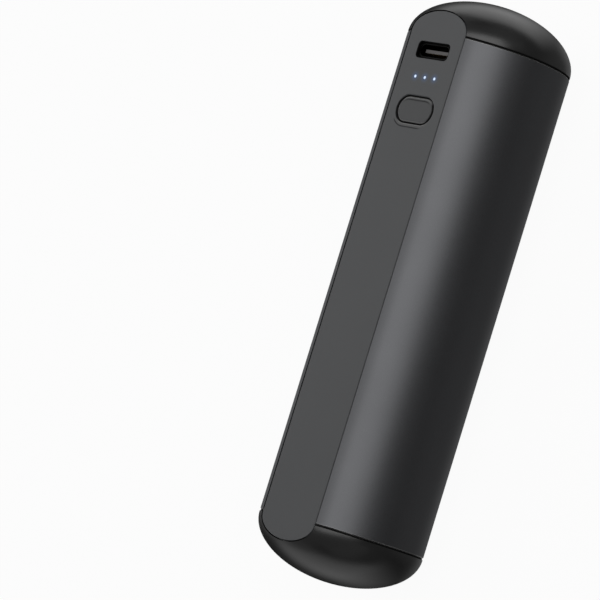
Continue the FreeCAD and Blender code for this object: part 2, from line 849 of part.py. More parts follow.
# Lower carrier: the cradle half, with a window for the heat sensor
sensor_x = board_start + mm.lead_inset + mm.sensor_length
lower_bar = bar("lower_bar", 2 * carrier_outer, "x", whole_carrier, on_axis)
lower_limit = block("lower_limit", whole_carrier, (-radius, radius), (axis - radius, axis))
lower_bore = bar("lower_bore", 2 * carrier_inner, "x", past_carrier, on_axis)
sensor_window = block(
    "sensor_window",
    around(sensor_x, mm.sensor_length + 2 * window_margin),
    middle(mm.sensor_width + 2 * window_margin),
    (axis - radius, axis - carrier_inner + overrun),
)
lower_half = overlap("lower_half", lower_bar, lower_limit)
node(cut("lower_carrier", lower_half, lower_bore, sensor_window), "lower_carrier")

# Circuit board with its screws and its small parts
whole_board = (board_start, board_end)
board_y = (-board_half, board_half)
board_plate = block("board_plate", whole_board, board_y, (board_under, board_top))
board_holes = [
    bar(f"board_hole_{index}", screw_hole, "z", past(board_under, board_top), spot)
    for index, spot in enumerate(post_spots)
]
node(cut("main_board", board_plate, *board_holes), "main_board")
board_screws = []
head_under = board_under - mm.board_head_height
shank_span = (board_under, board_under + mm.board_screw_length)
drive_span = (head_under - overrun, head_under + mm.drive_depth)
for index, spot in enumerate(post_spots):
    name = f"board_screw_{index}"
    head = bar(f"{name}_head", mm.board_head, "z", (head_under, board_under), spot)
    shank = bar(f"{name}_shank", screw_shank, "z", shank_span, spot)
    drive = cross_recess(f"{name}_drive", *spot, drive_span)
    board_screws.append(cut(name, join(f"{name}_blank", head, shank), drive))
node(together("board_screws", board_screws), "board_screws")
cap_screws = []
cap_head_under = seat - mm.cap_head_height
for end, sign in ENDS:
    for index, spot in enumerate(cap_screw_spots(sign)):
        name = f"cap_screw_{end}_{index}"
        head = cone(f"{name}_head", screw_shank, mm.cap_head, (cap_head_under, seat), *spot)
        shank = bar(f"{name}_shank", screw_shank, "z", (seat - mm.cap_screw_length, cap_head_under), spot)
        drive = cross_recess(f"{name}_drive", *spot, (seat - mm.drive_depth, seat + overrun))
        cap_screws.append(cut(name, join(f"{name}_blank", head, shank), drive))
node(together("cap_screws", cap_screws), "cap_screws")


def under_board(name, x, y, length, width, height):
    """A small part on the board's lower face."""
    return block(name, around(x, length), around(y, width), (board_under - height, board_under))


chip_x = button_x + mm.switch_side / 2
node(under_board("control_chip", chip_x, 0, mm.chip_side, mm.chip_side, mm.chip_height), "control_chip")
inductor_x = lamp_x + mm.inductor_side / 2
node(
    under_board("power_inductor", inductor_x, 0, mm.inductor_side, mm.inductor_side, mm.inductor_height),
    "power_inductor",
)
transistors = [
    under_board(
        f"transistor_{name}",
        lamp_x - mm.post_diameter,
        side * (mm.chip_side + mm.transistor_width / 2),
        mm.transistor_length,
        mm.transistor_width,
        mm.transistor_height,
    )
    for name, side in SIDES
]
node(together("power_transistors", transistors), "power_transistors")
part_step = mm.part_step
capacitors = [
    under_board(
        f"capacitor_{name}_{index}",
        port_x + (index - 1) * part_step,
        side * post_y,
        mm.capacitor_width,
        mm.capacitor_length,
        mm.capacitor_height,
    )
    for name, side in SIDES
    for index in range(3)
]
node(together("board_capacitors", capacitors), "board_capacitors")
resistors = [
    under_board(
        f"resistor_{name}_{index}",
        chip_x + (index - 1) * part_step / 2,
        side * (mm.chip_side / 2 + mm.resistor_length),
        mm.resistor_width,
        mm.resistor_length,
        mm.resistor_height,
    )
    for name, side in SIDES
    for index in range(3)
]
node(together("board_resistors", resistors), "board_resistors")


def inside_cell(name, inset):
    """A round bar that lies inside the cell's can, the same distance from it all over."""
    return bar(name, 2 * (cell_radius - inset), "x", (cell_start + inset, cell_end - inset), on_cell)


# Lithium cell: a steel can round the wound core, a printed sleeve and the two ends
can_blank = bar("can_blank", 2 * cell_radius, "x", whole_cell, on_cell)
node(cut("cell_can", can_blank, inside_cell("can_room", mm.can_wall)), "cell_can")
node(inside_cell("cell_core", mm.can_wall + mm.core_clearance), "cell_core")
wrap_blank = bar("wrap_blank", 2 * wrap_radius, "x", whole_cell, on_cell)
wrap_bore = bar("wrap_bore", 2 * cell_radius, "x", past(*whole_cell), on_cell)
node(cut("cell_wrap", wrap_blank, wrap_bore), "cell_wrap")
terminal_end = cell_end + mm.terminal_height
node(bar("cell_terminal", mm.terminal_diameter, "x", (cell_end, terminal_end), on_cell), "cell_terminal")
gasket_end = cell_end + mm.gasket_height
gasket_blank = bar("gasket_blank", mm.gasket_outer, "x", (cell_end, gasket_end), on_cell)
gasket_hole = bar("gasket_hole", mm.gasket_inner, "x", past(cell_end, gasket_end), on_cell)
node(cut("cell_gasket", gasket_blank, gasket_hole), "cell_gasket")
tab_thickness = mm.tab_thickness
tab_end = terminal_end + tab_thickness
tab_start = cell_start - tab_thickness
half_tab = mm.tab_width / 2
tab_high = (cell_axis - half_tab, cell_axis - half_tab + mm.tab_length)
node(block("positive_tab", (terminal_end, tab_end), (-half_tab, half_tab), tab_high), "positive_tab")
side_lane = (wrap_radius + leg(carrier_inner, axis - cell_axis)) / 2
lead_radius = mm.lead_diameter / 2
lane_end = side_lane + lead_radius
tab_level = (cell_axis - lead_radius, cell_axis - lead_radius + mm.tab_width)
node(block("negative_tab", (tab_start, cell_start), (-lane_end, half_tab), tab_level), "negative_tab")
cell_pads = []
pad_clear = mm.pad_clearance
pad_reach = (cell_length - mm.pad_length) / 2 - mm.pad_margin
for name, sign in (("near", 1), ("far", -1)):
    pad_x = around(cell_middle + sign * pad_reach, mm.pad_length)
    pad_blank = bar(f"pad_blank_{name}", 2 * (carrier_inner - pad_clear), "x", pad_x, on_axis)
    pad_limit = block(f"pad_limit_{name}", pad_x, middle(mm.pad_width), (axis - radius, cell_axis))
    pad_bed = bar(f"pad_bed_{name}", 2 * (wrap_radius + pad_clear), "x", whole_cell, on_cell)
    pad_shape = overlap(f"pad_shape_{name}", pad_blank, pad_limit)
    cell_pads.append(cut(f"cell_pad_{name}", pad_shape, pad_bed))
node(together("cell_pads", cell_pads), "cell_pads")

# Leads from the cell to the underside of the board
lead_diameter = mm.lead_diameter
positive_x = board_start + mm.lead_inset - mm.lead_bend
positive_points = (
    (tab_end, 0, cell_axis + half_tab),
    (positive_x, 0, cell_axis + half_tab),
    (positive_x, 0, board_under),
)
node(wire("positive_lead", lead_diameter, positive_points), "positive_lead")
negative_x = board_start + mm.post_step / 2
lead_y = mm.lead_margin - board_half
negative_points = (
    (cell_start, -side_lane, cell_axis),
    (negative_x, -side_lane, cell_axis),
    (negative_x, lead_y, cell_axis + mm.tab_length / 2),
    (negative_x, lead_y, board_under),
)
node(wire("negative_lead", lead_diameter, negative_points), "negative_lead")

# Heating film on the tube's bore, its tail to the board, and the sensor that rests on it
film_span = (-carrier_half + mm.film_margin, carrier_half - mm.film_margin)
film_blank = bar("film_blank", 2 * film_outer, "x", film_span, on_axis)
film_z = (axis - radius, tail_z[1] + mm.film_lap)
film_limit = block("film_limit", film_span, (-radius, radius), film_z)
film_bore = bar("film_bore", 2 * film_inner, "x", past_tube, on_axis)
node(cut("heating_film", overlap("film_shape", film_blank, film_limit), film_bore), "heating_film")
tail_reach = leg(film_inner, tail_z[1] - axis)
tail_y = (board_half - mm.tail_landing, tail_reach)
node(block("heater_tail", tail_x, tail_y, tail_z), "heater_tail")
sensor_under = axis - leg(film_inner, mm.sensor_width / 2) + mm.sensor_gap
sensor_top = sensor_under + mm.sensor_height
sensor_z = (sensor_under, sensor_top)
sensor_span = around(sensor_x, mm.sensor_length)
node(block("heat_sensor", sensor_span, middle(mm.sensor_width), sensor_z), "heat_sensor")
lead_span = (sensor_top, board_under)
half_pitch = mm.sensor_pitch / 2
sensor_leads = [
    bar(f"sensor_lead_{name}", mm.sensor_lead, "z", lead_span, (sensor_x, side * half_pitch))
    for name, side in SIDES
]
node(together("sensor_leads", sensor_leads), "sensor_leads")

document.recompute()
faults = [thing.Label for thing in document.Objects if {"Invalid", "Error"} & set(thing.State)]
for thing in nodes:
    if thing.Shape.isNull() or not thing.Shape.isValid() or not thing.Shape.Solids:
        faults.append(thing.Label)
if faults:
    raise RuntimeError("not built: " + ", ".join(faults))

os.makedirs("parts", exist_ok=True)
for thing in nodes:
    box = thing.Shape.BoundBox
    low = ", ".join(f"{value:.2f}" for value in (box.XMin, box.YMin, box.ZMin))
    high = ", ".join(f"{value:.2f}" for value in (box.XMax, box.YMax, box.ZMax))
    solids = len(thing.Shape.Solids)
    print(f"{thing.Label}: {solids} solid, {thing.Shape.Volume:.2f} mm3, ({low}) to ({high})")
    thing.Shape.exportStep(f"parts/{thing.Label}.step")
print(len(nodes), "nodes")
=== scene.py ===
# %% Load the frame
import math

import bpy
from mathutils import Matrix, Vector


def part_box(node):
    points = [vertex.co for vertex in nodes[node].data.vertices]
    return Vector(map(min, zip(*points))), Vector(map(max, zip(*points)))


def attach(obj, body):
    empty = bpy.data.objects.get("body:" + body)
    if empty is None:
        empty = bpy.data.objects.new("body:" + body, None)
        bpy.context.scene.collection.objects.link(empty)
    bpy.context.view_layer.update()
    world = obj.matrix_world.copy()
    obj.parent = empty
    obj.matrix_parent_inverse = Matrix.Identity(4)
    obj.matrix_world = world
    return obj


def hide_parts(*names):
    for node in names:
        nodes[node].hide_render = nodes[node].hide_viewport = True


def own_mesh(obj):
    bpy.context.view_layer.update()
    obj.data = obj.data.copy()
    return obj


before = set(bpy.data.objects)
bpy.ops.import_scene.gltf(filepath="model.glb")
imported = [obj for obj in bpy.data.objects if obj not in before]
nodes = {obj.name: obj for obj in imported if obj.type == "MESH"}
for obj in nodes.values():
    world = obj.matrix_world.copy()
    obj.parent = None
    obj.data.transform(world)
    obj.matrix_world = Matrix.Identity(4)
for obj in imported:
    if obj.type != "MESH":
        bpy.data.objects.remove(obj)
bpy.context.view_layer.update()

MM = 0.001  # Blender works in metres, and the sizes below are given in millimetres

# %% [markdown]
# The warmer is a dark metal tube with a domed cap on each end and a flat control strip along one
# side. FreeCAD made every piece at its real size, so this script only adds what a camera sees:
# finishes, four small pieces, a stage, light and a view.
# The places that several steps need are read from the CAD nodes first, so that they can't drift apart.

# %% Places on the warmer
tube_low, tube_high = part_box("heat_shell")
_, strip_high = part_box("control_strip")
guide_low, guide_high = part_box("light_guide")
socket_low, socket_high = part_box("usb_shell")

tube_radius = (tube_high.y - tube_low.y) / 2
axis_height = tube_low.z + tube_radius
tube_end = tube_high.x
strip_face = strip_high.z
strip_half = strip_high.y
lamp_x = (guide_low.x + guide_high.x) / 2
port_x = (socket_low.x + socket_high.x) / 2
print(f"tube radius {tube_radius / MM:.2f} mm, end {tube_end / MM:.2f} mm")
print(f"strip face {strip_face / MM:.2f} mm up, half width {strip_half / MM:.2f} mm")

# %% [markdown]
# The camera comes first, because every later choice is judged through it. The photograph looks at
# the strip side from the tube's left, turned so that the socket end points up the picture.
# A long lens far away keeps the tube's sides almost parallel. The camera is turned, not shifted,
# until the middle of the warmer falls on its own pixel, so other views can reuse it as it is.

# %% Camera
PICTURE = 600  # pixels on each side of the photograph
PIXELS_PER_METRE = 4846.0  # at the middle of the warmer
DISTANCE = 0.85
LEAN = math.radians(-4.73)  # more than 0 would be towards the socket end
AROUND = math.radians(46.5)  # from straight above, over to the near side
ROLL = math.radians(17.1)
MIDDLE_PIXEL = (415.305, 294.21)

focal_pixels = PIXELS_PER_METRE * DISTANCE
toward_camera = Vector(
    (math.sin(LEAN), -math.cos(LEAN) * math.sin(AROUND), math.cos(LEAN) * math.cos(AROUND))
)
long_axis = Vector((1, 0, 0))
level_up = (long_axis - toward_camera * toward_camera.dot(long_axis)).normalized()
level_right = level_up.cross(toward_camera)
up = math.cos(ROLL) * level_up - math.sin(ROLL) * level_right
right = up.cross(toward_camera)
axes = Matrix((right, up, toward_camera)).transposed()
half_picture = PICTURE / 2
aim = Vector(
    (
        (MIDDLE_PIXEL[0] - half_picture) / focal_pixels,
        (half_picture - MIDDLE_PIXEL[1]) / focal_pixels,
        -1,
    )
)
turn = Vector((0, 0, -1)).rotation_difference(aim.normalized()).to_matrix()

bpy.ops.object.select_all(action="DESELECT")
bpy.ops.object.camera_add(location=Vector((0, 0, axis_height)) + toward_camera * DISTANCE)
camera = bpy.context.object
camera.name = "photo_camera"
camera.rotation_mode = "QUATERNION"
camera.rotation_quaternion = (axes @ turn.inverted()).to_quaternion()
camera.data.sensor_width = 36
camera.data.lens = focal_pixels / PICTURE * camera.data.sensor_width
bpy.context.scene.camera = camera
print(f"lens {camera.data.lens:.1f} mm at {DISTANCE} m")

# %% [markdown]
# Every finish is written as an expression on node sockets. A socket wrapped in the small class below
# takes Python's operators, and each one adds a Math node, so 1 - mask reads as it is meant.
# All other nodes come from one method that sets the node up first and then feeds its sockets.

# %% Shader expressions
class Socket:
    """The output of a node."""

    def __init__(self, finish, output):
        self.finish = finish
        self.output = output

    def __add__(self, other):
        return self.finish.math("ADD", self, other)

    def __radd__(self, other):
        return self.finish.math("ADD", other, self)

    def __sub__(self, other):
        return self.finish.math("SUBTRACT", self, other)

    def __rsub__(self, other):
        return self.finish.math("SUBTRACT", other, self)

    def __mul__(self, other):
        return self.finish.math("MULTIPLY", self, other)

    def __rmul__(self, other):
        return self.finish.math("MULTIPLY", other, self)

    def __abs__(self):
        return self.finish.math("ABSOLUTE", self)


class Finish:
    """A material under construction, with a Principled shader at its end."""

    def __init__(self, name):
        self.material = bpy.data.materials.new(name)
        self.material.use_nodes = True
        self.tree = self.material.node_tree
        self.shader = self.tree.nodes["Principled BSDF"]
        self.place = self.node("ShaderNodeTexCoord")["Object"]

    def node(self, kind, settings=None, inputs=None):
        made = self.tree.nodes.new(kind)
        for name, value in (settings or {}).items():
            setattr(made, name, value)
        self.feed(made, inputs or {})
        return {output.name: Socket(self, output) for output in made.outputs if output.enabled}

    def feed(self, made, inputs):
        open_sockets = [socket for socket in made.inputs if socket.enabled]
        for key, value in inputs.items():
            by_name = [socket for socket in open_sockets if socket.name == key]
            target = by_name[0] if by_name else open_sockets[key]
            if isinstance(value, Socket):
                self.tree.links.new(value.output, target)
            else:
                target.default_value = value

    def math(self, operation, *values):
        return self.node("ShaderNodeMath", {"operation": operation}, dict(enumerate(values)))["Value"]

    def noise(self, size, detail=2.0):
        """Cloudy values around a half, with features of one size in millimetres."""
        inputs = {"Vector": self.place, "Scale": 1 / (size * MM), "Detail": detail}
        return self.node("ShaderNodeTexNoise", {}, inputs)["Fac"]

    def ramp(self, value, start, end):
        """A soft step from 0 to 1 between two values."""
        inputs = {"Value": value, "From Min": start, "From Max": end}
        return self.node("ShaderNodeMapRange", {"interpolation_type": "SMOOTHSTEP"}, inputs)["Result"]

    def mix(self, factor, first, second):
        inputs = {"Factor": factor, "A": first, "B": second}
        return self.node("ShaderNodeMix", {"data_type": "RGBA"}, inputs)["Result"]

    def xyz(self):
        parts = self.node("ShaderNodeSeparateXYZ", {}, {"Vector": self.place})
        return parts["X"], parts["Y"], parts["Z"]

    def bump(self, height, depth, strength):
        """Relief of one depth in millimetres."""
        inputs = {"Height": height, "Distance": depth * MM, "Strength": strength}
        return self.node("ShaderNodeBump", {}, inputs)["Normal"]

    def surface(self, **inputs):
        named = {key.replace("_", " "): value for key, value in inputs.items()}
        self.feed(self.shader, named)
        print("finish:", self.material.name, "nodes:", len(self.tree.nodes))
        return self.material


def grey(level, tint=(1.0, 1.0, 1.0)):
    return (level * tint[0], level * tint[1], level * tint[2], 1.0)


finishes = {}

# %% [markdown]
# The tube is aluminium that was blasted with fine beads and then anodised almost black. The blast
# leaves tiny dents that spread a highlight into a broad band, so the finish is a dark metal with high
# roughness and a relief of two grain sizes. The turned edges at its ends get a painted highlight.
# Beside the strip the colour darkens a little towards it: a painted shade.

# %% Anodised tube
COOL = (0.97, 0.985, 1.03)
END_HIGHLIGHT_GREY = grey(0.6)
STRIP_SHADE_HEIGHTS = (axis_height + 13.9 * MM, axis_height + 15.6 * MM)  # heights where it darkens

tube = Finish("blasted_anodised")
tube_along, _, tube_height = tube.xyz()
fine_grain = tube.noise(0.16)
coarse_grain = tube.noise(0.45)
handling = tube.noise(14.0, detail=3.0)
# Painted highlight: the colour turns brighter on the turned edges at the tube's ends.
edge = tube.ramp(abs(tube_along), tube_end - 0.32 * MM, tube_end - 0.2 * MM)
# Painted shade: the colour darkens beside the strip.
strip_shade = tube.ramp(tube_height, *STRIP_SHADE_HEIGHTS)
dark_metal = tube.mix(fine_grain, grey(0.136, COOL), grey(0.19, COOL))
dark_metal = tube.mix(0.2 * strip_shade, dark_metal, grey(0.0))
finishes["dark_anodised"] = tube.surface(
    Base_Color=tube.mix(edge, dark_metal, END_HIGHLIGHT_GREY),
    Metallic=1.0,
    Roughness=0.47 + 0.10 * (fine_grain - 0.5) + 0.06 * (handling - 0.5) - 0.1 * edge,
    Normal=tube.bump(fine_grain + 0.6 * coarse_grain, 0.012, 0.35),
)

# %% [markdown]
# The caps are moulded plastic with a satin skin. It is smoother than the tube, so the dome shows the
# room as soft bands. A faint relief from the mould keeps the bands from looking like glass.

# %% Cap plastic
cap = Finish("satin_cap_plastic")
mould_grain = cap.noise(0.22)
flow = cap.noise(9.0, detail=3.0)
finishes["cap_plastic"] = cap.surface(
    Base_Color=cap.mix(mould_grain, grey(0.017), grey(0.023)),
    Roughness=0.3 + 0.06 * (mould_grain - 0.5) + 0.05 * (flow - 0.5),
    IOR=1.65,
    Normal=cap.bump(mould_grain, 0.006, 0.25),
)

# %% [markdown]
# The control strip carries three lamps and a key that is a long oval in a hole of the same form. Their
# finishes need to know how far a point is from the nearest lamp, from the key's outline and under a
# face. All three are worked out from the place on the surface, so they stay sharp at any size.

# %% Distances on the strip
LAMP_PITCH = 2.86 * MM
KEY_LENGTH, KEY_WIDTH = 10.3 * MM, 5.5 * MM  # of the key's face, without the lip under the strip

key_low, key_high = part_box("power_button")
button_x = (key_low.x + key_high.x) / 2
key_straight = (KEY_LENGTH - KEY_WIDTH) / 2  # half of the straight part of its outline


def lamp_distance(finish):
    """How far a point of the surface is from the axis of the nearest of the three lamps."""
    along, across, _ = finish.xyz()
    from_middle = abs(across)
    from_outer = abs(from_middle - LAMP_PITCH)
    nearest = finish.math("MINIMUM", from_middle, from_outer)
    offset = along - lamp_x
    return finish.math("SQRT", nearest * nearest + offset * offset)


def key_distance(finish):
    """How far a point is outside the key's outline, less than 0 inside it."""
    along, across, _ = finish.xyz()
    past_straight = finish.math("MAXIMUM", abs(across) - key_straight, 0.0)
    offset = along - button_x
    return finish.math("SQRT", past_straight * past_straight + offset * offset) - KEY_WIDTH / 2


def line(finish, distance, centre):
    """A soft line of painted shade at one distance in millimetres."""
    return 1 - finish.ramp(abs(distance - centre * MM), 0.03 * MM, 0.2 * MM)


def below(finish, face, start, end, lowered=0.0):
    """1 on walls under a face, from one depth in millimetres to another, and 0 on the face."""
    height = finish.xyz()[2]
    return 1 - finish.ramp(height + lowered, face - end * MM, face - start * MM)


print(f"key's middle at {button_x / MM:.2f} mm, its face {key_high.z / MM:.2f} mm up")

# %% [markdown]
# The strip is a matt grey moulding, lighter than the tube. A little under its face, on the walls of its
# holes, the colour turns black: painted shade, which draws the key's thin outline. The lower rim of the
# key's hole faces the socket end. It is painted paler, a painted highlight, with a thin soft line of
# painted shade where it meets the flat face. Both are colour, mixed in by distance. Along the strip's
# long edges the colour is a little darker: painted shade.
# The plastic round each lamp glows blue for about a millimetre: an emission that fades outwards.

# %% Strip plastic
LAMP_BLUE = (0.03, 0.24, 0.74, 1.0)
STRIP_TINT = (0.94, 0.985, 1.05)
# Near-black for painted shade in the gaps and along the soft lines.
PAINTED_SHADE_BLACK = grey(0.002)
MATT = 0.42  # roughness of strip and key
RIM_DEPTH = (0.002, 0.02)  # mm under a face, where the rounding of a rim starts
LINE_OUTSIDE = 0.98  # mm from the key's outline to the soft line on the strip

strip = Finish("matt_strip_plastic")
strip_along, strip_across, _ = strip.xyz()
strip_grain = strip.noise(0.2)
strip_flow = strip.noise(12.0, detail=3.0)

from_key = key_distance(strip)
round_hole = 1 - strip.ramp(from_key, 0.7 * MM, 0.9 * MM)
lower_side = strip.ramp(button_x - strip_along, 2.2 * MM, 2.9 * MM)
upper_side = strip.ramp(strip_along - button_x, 1.5 * MM, 2.5 * MM)
hole_ends = strip.ramp(abs(strip_across), 4.0 * MM, 5.0 * MM)
lower_rim_highlight = lower_side * round_hole
line_end = strip.ramp(-1 * strip_across, 2.0 * MM, 3.4 * MM)
lower_shade_line = lower_side * line(strip, from_key, LINE_OUTSIDE) * (1 - line_end)

openings = 1 - strip.ramp(abs(strip_across), 6.0 * MM, 6.5 * MM)
lowered = 0.03 * MM * lower_rim_highlight + 0.04 * MM * upper_side * round_hole - 0.03 * MM * hole_ends
# Painted shade: the colour turns black on the walls of the openings under the face.
strip_gap_shade = openings * below(strip, strip_face, 0.035, 0.07, lowered)
# Painted shade: the colour darkens a little along the strip's long edges.
strip_edge_shade = strip.ramp(abs(strip_across), strip_half - 0.45 * MM, strip_half - 0.1 * MM)
strip_face_colour = strip.mix(strip_grain, grey(0.053, STRIP_TINT), grey(0.066, STRIP_TINT))
strip_face_colour = strip.mix(0.15 * strip_edge_shade, strip_face_colour, grey(0.01))
# Painted highlight: the lower rim of the key's hole is paler, palest where it rounds off.
strip_face_colour = strip.mix(lower_rim_highlight, strip_face_colour, grey(0.075))
strip_face_colour = strip.mix(lower_rim_highlight * below(strip, strip_face, *RIM_DEPTH), strip_face_colour, grey(0.2))
# Painted shade: a thin soft dark line beside the lower rim.
strip_face_colour = strip.mix(0.7 * lower_shade_line, strip_face_colour, PAINTED_SHADE_BLACK)

halo = 1 - strip.ramp(lamp_distance(strip), 0.3 * MM, 1.7 * MM)
face_roughness = MATT + 0.08 * (strip_grain - 0.5) + 0.05 * (strip_flow - 0.5)
finishes["strip_plastic"] = strip.surface(
    Base_Color=strip.mix(strip_gap_shade, strip_face_colour, PAINTED_SHADE_BLACK),
    Roughness=face_roughness + 0.5 * strip_gap_shade + 0.4 * lower_shade_line,
    Normal=strip.bump(strip_grain, 0.006, 0.3),
    Emission_Color=strip.mix(halo * halo, grey(0.0), LAMP_BLUE),
    Emission_Strength=0.085,
)

# %% [markdown]
# The key is the same plastic, a little darker, and like the hole its colour turns black under its face:
# painted shade in the gap. Its rims along the two straight sides get a painted highlight, paler, and a
# soft line of painted shade runs along the upper one. How deep the black starts differs from side to
# side, to follow the outline's shade.

# %% Button plastic
LINE_INSIDE = -0.71  # mm from the key's outline to the soft line on its face

button = Finish("matt_button_plastic")
button_along, button_across, _ = button.xyz()
button_grain = button.noise(0.2)

key_upper = button.ramp(button_along - button_x, 1.2 * MM, 2.3 * MM)
key_lower = button.ramp(button_x - button_along, 1.5 * MM, 2.5 * MM)
key_far = button.ramp(button_across, 3.6 * MM, 4.8 * MM)
key_near = button.ramp(-1 * button_across, 3.6 * MM, 4.8 * MM)
# Painted shade: a soft dark line along the key's upper rim.
upper_shade_line = key_upper * line(button, key_distance(button), LINE_INSIDE)
# Painted highlight: the key's upper and lower rims are paler.
rim_highlights = (key_upper + key_lower) * below(button, key_high.z, *RIM_DEPTH)

# Painted shade: the colour turns black on the key's walls under its face, from a depth that differs by
# side.
lowered = 0.25 * MM * key_upper + 0.06 * MM * key_lower + 0.1 * MM * key_far - 0.035 * MM * key_near
key_gap_shade = below(button, key_high.z, 0.06, 0.1, lowered)
key_face_colour = button.mix(button_grain, grey(0.033, STRIP_TINT), grey(0.041, STRIP_TINT))
key_face_colour = button.mix(rim_highlights, key_face_colour, grey(0.17))
key_face_colour = button.mix(0.9 * upper_shade_line, key_face_colour, PAINTED_SHADE_BLACK)
finishes["button_plastic"] = button.surface(
    Base_Color=button.mix(key_gap_shade, key_face_colour, PAINTED_SHADE_BLACK),
    Roughness=MATT + 0.08 * (button_grain - 0.5) + 0.5 * key_gap_shade + 0.4 * upper_shade_line,
    Normal=button.bump(button_grain, 0.006, 0.3),
)

# %% [markdown]
# The lamps are the round ends of a clear light guide. Lit from below, the middle of each end is
# almost white and its edge is blue, so the emission runs from one to the other.

# %% Light guide
GUIDE_EDGE, GUIDE_MIDDLE = (0.05, 0.08, 0.14, 1.0), (0.4, 0.45, 0.5, 1.0)
GLOW_EDGE, GLOW_MIDDLE = (0.02, 0.05, 0.12, 1.0), (0.58, 0.69, 0.88, 1.0)

guide = Finish("lit_light_guide")
core = 1 - guide.ramp(lamp_distance(guide), 0.16 * MM, 0.4 * MM)
finishes["clear_guide"] = guide.surface(
    Base_Color=guide.mix(core, GUIDE_EDGE, GUIDE_MIDDLE),
    Roughness=0.25 + 0.05 * guide.noise(0.3),
    Emission_Color=guide.mix(core, GLOW_EDGE, GLOW_MIDDLE),
    Emission_Strength=1.0,
)

# %% [markdown]
# The other pieces are inside the warmer or deep in the socket. Each still gets the finish of its real
# material: a colour that varies over a grain, a roughness that varies with it, and a slight relief. The
# socket's steel and its gold contacts are darkened: painted shade for the inside of the socket.
# One function makes them all from a row of numbers.

# %% Inner finishes
INNER = {
    # slot: (first colour, second colour, metallic, roughness, grain in mm, relief in mm)
    "black_tape": ((0.012, 0.012, 0.012), (0.02, 0.02, 0.02), 0.0, 0.7, 0.3, 0.01),
    "screw_steel": ((0.45, 0.45, 0.46), (0.56, 0.56, 0.57), 1.0, 0.35, 0.15, 0.004),
    "carrier_plastic": ((0.025, 0.025, 0.027), (0.036, 0.036, 0.038), 0.0, 0.55, 0.4, 0.01),
    "board_laminate": ((0.012, 0.12, 0.05), (0.022, 0.17, 0.075), 0.0, 0.4, 0.6, 0.01),
    # Painted shade: the socket's steel is near-black, for the shade inside the socket.
    "socket_steel": ((0.004, 0.004, 0.004), (0.007, 0.007, 0.007), 1.0, 0.45, 0.2, 0.003),
    "socket_plastic": ((0.086, 0.082, 0.082), (0.108, 0.103, 0.103), 0.0, 0.5, 0.2, 0.004),
    # Painted shade: the gold contacts are darkened, for the shade inside the socket.
    "contact_gold": ((0.22, 0.15, 0.06), (0.3, 0.21, 0.09), 1.0, 0.4, 0.1, 0.002),
    "switch_plastic": ((0.015, 0.015, 0.015), (0.026, 0.026, 0.026), 0.0, 0.5, 0.3, 0.006),
    "switch_steel": ((0.55, 0.55, 0.55), (0.64, 0.64, 0.64), 1.0, 0.3, 0.2, 0.003),
    "plunger_plastic": ((0.56, 0.56, 0.54), (0.64, 0.64, 0.62), 0.0, 0.45, 0.3, 0.005),
    "led_lens": ((0.85, 0.87, 0.9), (0.93, 0.95, 0.98), 0.0, 0.15, 0.3, 0.002),
    "chip_epoxy": ((0.012, 0.012, 0.013), (0.02, 0.02, 0.021), 0.0, 0.6, 0.15, 0.006),
    "ferrite": ((0.05, 0.05, 0.055), (0.075, 0.075, 0.08), 0.0, 0.7, 0.25, 0.01),
    "capacitor_ceramic": ((0.4, 0.26, 0.14), (0.5, 0.34, 0.2), 0.0, 0.4, 0.3, 0.004),
    "resistor_ceramic": ((0.04, 0.04, 0.04), (0.06, 0.06, 0.06), 0.0, 0.35, 0.2, 0.004),
    "can_steel": ((0.5, 0.5, 0.51), (0.6, 0.6, 0.61), 1.0, 0.3, 0.4, 0.003),
    "wound_foil": ((0.5, 0.5, 0.52), (0.68, 0.68, 0.7), 1.0, 0.45, 1.2, 0.01),
    "cell_sleeve": ((0.02, 0.13, 0.26), (0.035, 0.18, 0.33), 0.0, 0.25, 3.0, 0.02),
    "gasket_paper": ((0.68, 0.68, 0.64), (0.8, 0.8, 0.77), 0.0, 0.85, 0.25, 0.01),
    "nickel": ((0.6, 0.59, 0.55), (0.7, 0.69, 0.65), 1.0, 0.3, 0.3, 0.003),
    "pad_foam": ((0.04, 0.04, 0.04), (0.065, 0.065, 0.065), 0.0, 0.9, 0.2, 0.03),
    "red_insulation": ((0.42, 0.015, 0.015), (0.54, 0.025, 0.025), 0.0, 0.4, 0.6, 0.005),
    "black_insulation": ((0.015, 0.015, 0.015), (0.026, 0.026, 0.026), 0.0, 0.4, 0.6, 0.005),
    "film_amber": ((0.42, 0.16, 0.02), (0.56, 0.23, 0.04), 0.0, 0.3, 2.0, 0.006),
    "sensor_epoxy": ((0.015, 0.015, 0.02), (0.026, 0.026, 0.032), 0.0, 0.25, 0.4, 0.006),
    "tinned_wire": ((0.64, 0.64, 0.64), (0.74, 0.74, 0.74), 1.0, 0.3, 0.2, 0.003),
}


def grained(name, first, second, metallic, roughness, grain_size, relief):
    finish = Finish(name)
    grain = finish.noise(grain_size)
    return finish.surface(
        Base_Color=finish.mix(grain, (*first, 1.0), (*second, 1.0)),
        Metallic=metallic,
        Roughness=roughness + 0.12 * (grain - 0.5),
        Normal=finish.bump(grain, relief, 0.3),
    )


for slot, row in INNER.items():
    finishes[slot] = grained(f"inner_{slot}", *row)

for name, node in nodes.items():
    for place in node.material_slots:
        place.material = finishes[place.material.name]
print("finishes on nodes:", len(nodes))

# %% [markdown]
# The gap where each cap meets the tube is a thin black line. It is taken to hold a rubber ring, a
# little under the surface, whose near-black colour also serves as painted shade for the gap. By hand it
# is a torus squeezed to the width of the gap. The part that the strip covers is cut away with two
# straight cuts, and the open ends are filled.

# %% Seam rings
seam_width = 0.3 * MM
ring_depth = 0.12 * MM  # from the tube's surface to the top of the ring
ring_half = 0.3 * MM  # half its height
ring_share = 0.94  # of the gap's width

rubber = Finish("seam_rubber_gap_shade")
rubber_grain = rubber.noise(0.15)
